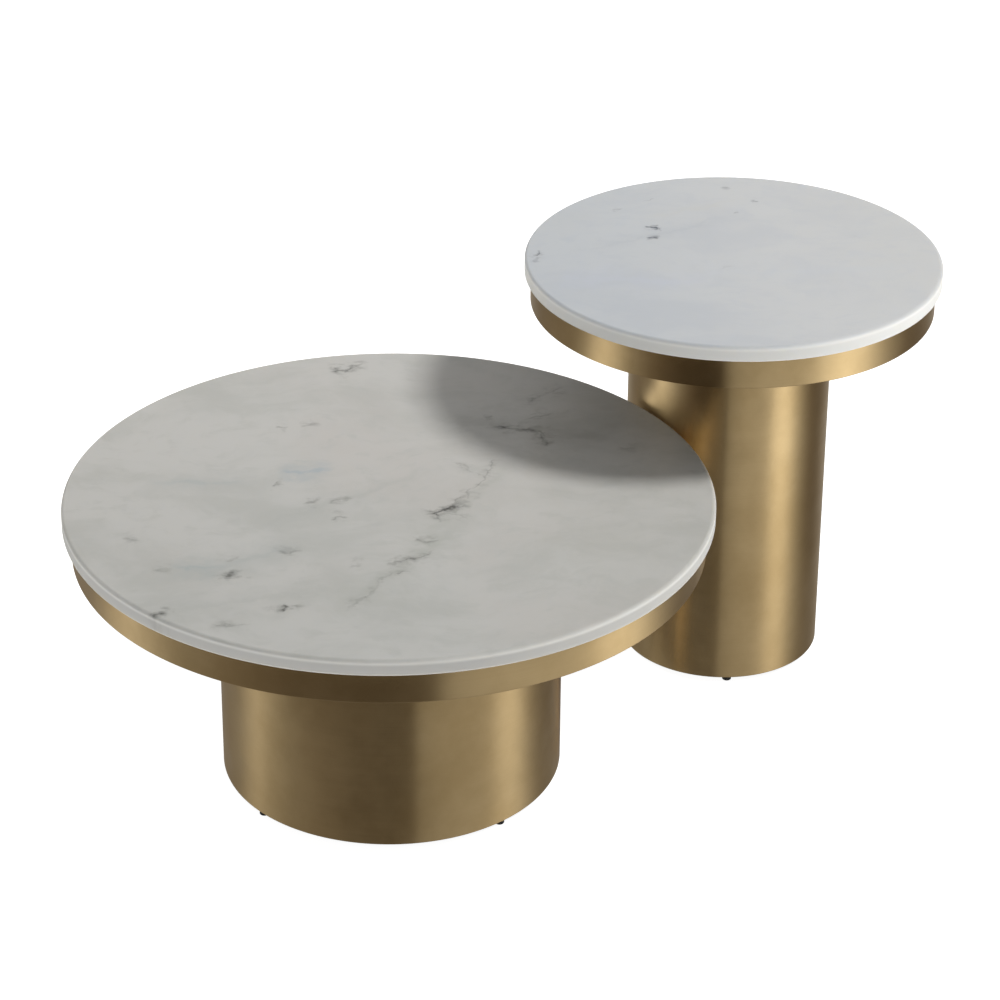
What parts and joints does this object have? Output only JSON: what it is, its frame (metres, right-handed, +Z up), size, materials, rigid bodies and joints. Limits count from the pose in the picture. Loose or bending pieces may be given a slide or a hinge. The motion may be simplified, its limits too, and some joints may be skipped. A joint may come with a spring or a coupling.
{
  "type": "nesting tables",
  "caption": "Round pedestal nesting tables with stone tops, metal aprons and drum bases; the tall, narrow top reaches over the low, wide one.",
  "frame": {"origin": "floor level, in the middle of the pair's footprint", "axes": "+Z up, +X from the low table to the tall table, +Y across"},
  "size_m": [1.2049, 0.8, 0.556],
  "materials": {
    "marble": "polished white marble with soft grey clouding and sparse dark veins",
    "antique_brass": "satin antique brass on rolled sheet",
    "plywood": "unfinished birch plywood",
    "beech": "sawn beech",
    "black_board": "fibreboard painted matt black",
    "plain_steel": "hot-rolled steel plate",
    "zinc_steel": "zinc-plated",
    "black_steel": "black powder coat",
    "clear_silicone": "translucent",
    "black_rubber": "matt moulded"
  },
  "bodies": {
    "low_base": {"low_slab_pads": "clear_silicone", "low_sub_top": "plywood", "low_apron": "antique_brass", "low_apron_brackets": "zinc_steel", "low_bracket_screws": "zinc_steel", "low_closing_panel": "black_board", "low_panel_screws": "black_steel", "low_spacer_blocks": "beech", "low_pedestal_flange": "plain_steel", "low_flange_bolts": "zinc_steel", "low_board_inserts": "zinc_steel", "low_pedestal": "antique_brass", "low_base_plate": "black_steel", "low_base_bushes": "zinc_steel"},
    "low_top": {"low_marble_top": "marble"},
    "low_foot_1": {"low_glide_1": "black_rubber", "low_glide_stud_1": "zinc_steel"},
    "low_foot_2": {"low_glide_2": "black_rubber", "low_glide_stud_2": "zinc_steel"},
    "low_foot_3": {"low_glide_3": "black_rubber", "low_glide_stud_3": "zinc_steel"},
    "low_foot_4": {"low_glide_4": "black_rubber", "low_glide_stud_4": "zinc_steel"},
    "tall_base": {"tall_slab_pads": "clear_silicone", "tall_sub_top": "plywood", "tall_apron": "antique_brass", "tall_apron_brackets": "zinc_steel", "tall_bracket_screws": "zinc_steel", "tall_closing_panel": "black_board", "tall_panel_screws": "black_steel", "tall_spacer_blocks": "beech", "tall_pedestal_flange": "plain_steel", "tall_flange_bolts": "zinc_steel", "tall_board_inserts": "zinc_steel", "tall_pedestal": "antique_brass", "tall_base_plate": "black_steel", "tall_base_bushes": "zinc_steel"},
    "tall_top": {"tall_marble_top": "marble"},
    "tall_foot_1": {"tall_glide_1": "black_rubber", "tall_glide_stud_1": "zinc_steel"},
    "tall_foot_2": {"tall_glide_2": "black_rubber", "tall_glide_stud_2": "zinc_steel"},
    "tall_foot_3": {"tall_glide_3": "black_rubber", "tall_glide_stud_3": "zinc_steel"},
    "tall_foot_4": {"tall_glide_4": "black_rubber", "tall_glide_stud_4": "zinc_steel"}
  },
  "joints": [
    {"name": "nest_slide", "type": "slide", "parent": "low_base", "child": "tall_base", "axis": [1, 0, 0], "range_m": [-0.005, 0.3]},
    {"name": "low_top_lift", "type": "slide", "parent": "low_base", "child": "low_top", "axis": [0, 0, 1], "range_m": [0, 0.11]},
    {"name": "tall_top_lift", "type": "slide", "parent": "tall_base", "child": "tall_top", "axis": [0, 0, 1], "range_m": [0, 0.11]},
    {"name": "low_foot_screw_1", "type": "slide", "parent": "low_base", "child": "low_foot_1", "axis": [0, 0, -1], "range_m": [-0.0008, 0.01]},
    {"name": "low_foot_screw_2", "type": "slide", "parent": "low_base", "child": "low_foot_2", "axis": [0, 0, -1], "range_m": [-0.0008, 0.01]},
    {"name": "low_foot_screw_3", "type": "slide", "parent": "low_base", "child": "low_foot_3", "axis": [0, 0, -1], "range_m": [-0.0008, 0.01]},
    {"name": "low_foot_screw_4", "type": "slide", "parent": "low_base", "child": "low_foot_4", "axis": [0, 0, -1], "range_m": [-0.0008, 0.01]},
    {"name": "tall_foot_screw_1", "type": "slide", "parent": "tall_base", "child": "tall_foot_1", "axis": [0, 0, -1], "range_m": [-0.0008, 0.01]},
    {"name": "tall_foot_screw_2", "type": "slide", "parent": "tall_base", "child": "tall_foot_2", "axis": [0, 0, -1], "range_m": [-0.0008, 0.01]},
    {"name": "tall_foot_screw_3", "type": "slide", "parent": "tall_base", "child": "tall_foot_3", "axis": [0, 0, -1], "range_m": [-0.0008, 0.01]},
    {"name": "tall_foot_screw_4", "type": "slide", "parent": "tall_base", "child": "tall_foot_4", "axis": [0, 0, -1], "range_m": [-0.0008, 0.01]}
  ]
}
